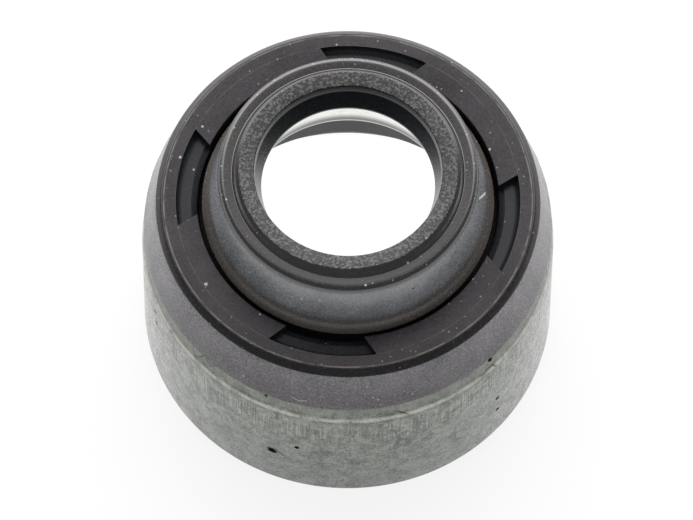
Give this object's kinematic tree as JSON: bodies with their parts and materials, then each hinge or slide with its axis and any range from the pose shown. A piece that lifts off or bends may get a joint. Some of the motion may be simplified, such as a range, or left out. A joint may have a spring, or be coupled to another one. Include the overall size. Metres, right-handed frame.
{
  "type": "valve stem seal",
  "caption": "Pressed steel case with a moulded rubber boss and lip that wipes an engine valve stem.",
  "frame": {"origin": "on the axis of the seal, in the plane of the skirt's bottom rim", "axes": "+Z along the axis, from the skirt toward the lip; the four pockets lie on +X, +Y, -X and -Y"},
  "size_m": [0.019, 0.019, 0.0143],
  "materials": {
    "case_steel": "dull phosphated pressed steel with draw lines, scuffs and pits; bright inside the collar",
    "seal_rubber": "moulded near-black rubber with a grey bloom, satin, dusted with pale specks"
  },
  "bodies": {
    "root": {"steel_case": "case_steel", "rubber_body": "seal_rubber"}
  },
  "joints": []
}
